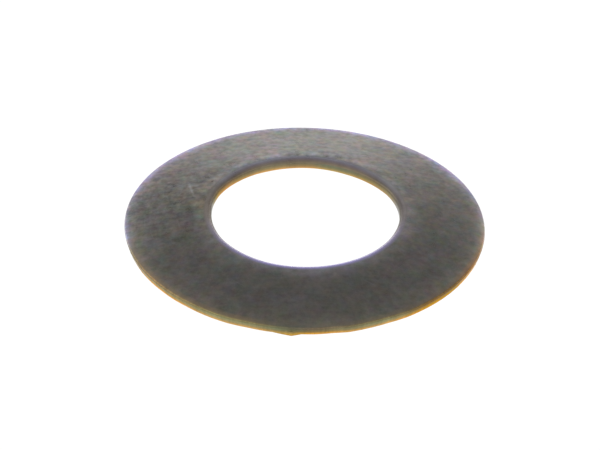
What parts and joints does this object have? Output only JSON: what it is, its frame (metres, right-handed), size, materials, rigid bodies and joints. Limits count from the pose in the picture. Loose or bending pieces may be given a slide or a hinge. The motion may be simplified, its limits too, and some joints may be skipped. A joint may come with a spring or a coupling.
{
  "type": "conical spring washer",
  "caption": "Shallow conical spring washer of dark steel sheet with a raised round bore, pressed flat under a screw head or nut to keep the joint loaded.",
  "frame": {"origin": "centre of the plane that the washer rests on, on the axis of its bore", "axes": "+Z along the axis of the bore, from the outer edge that it rests on up to the raised bore; -Y is the side with the small tooth on the rim"},
  "size_m": [0.02, 0.02, 0.0015],
  "materials": {
    "dark_spring_steel": "dark grey oiled phosphate over tumbled spring steel, satin, with warmer olive-grey cut edges"
  },
  "bodies": {
    "root": {"spring_washer": "dark_spring_steel"}
  },
  "joints": []
}
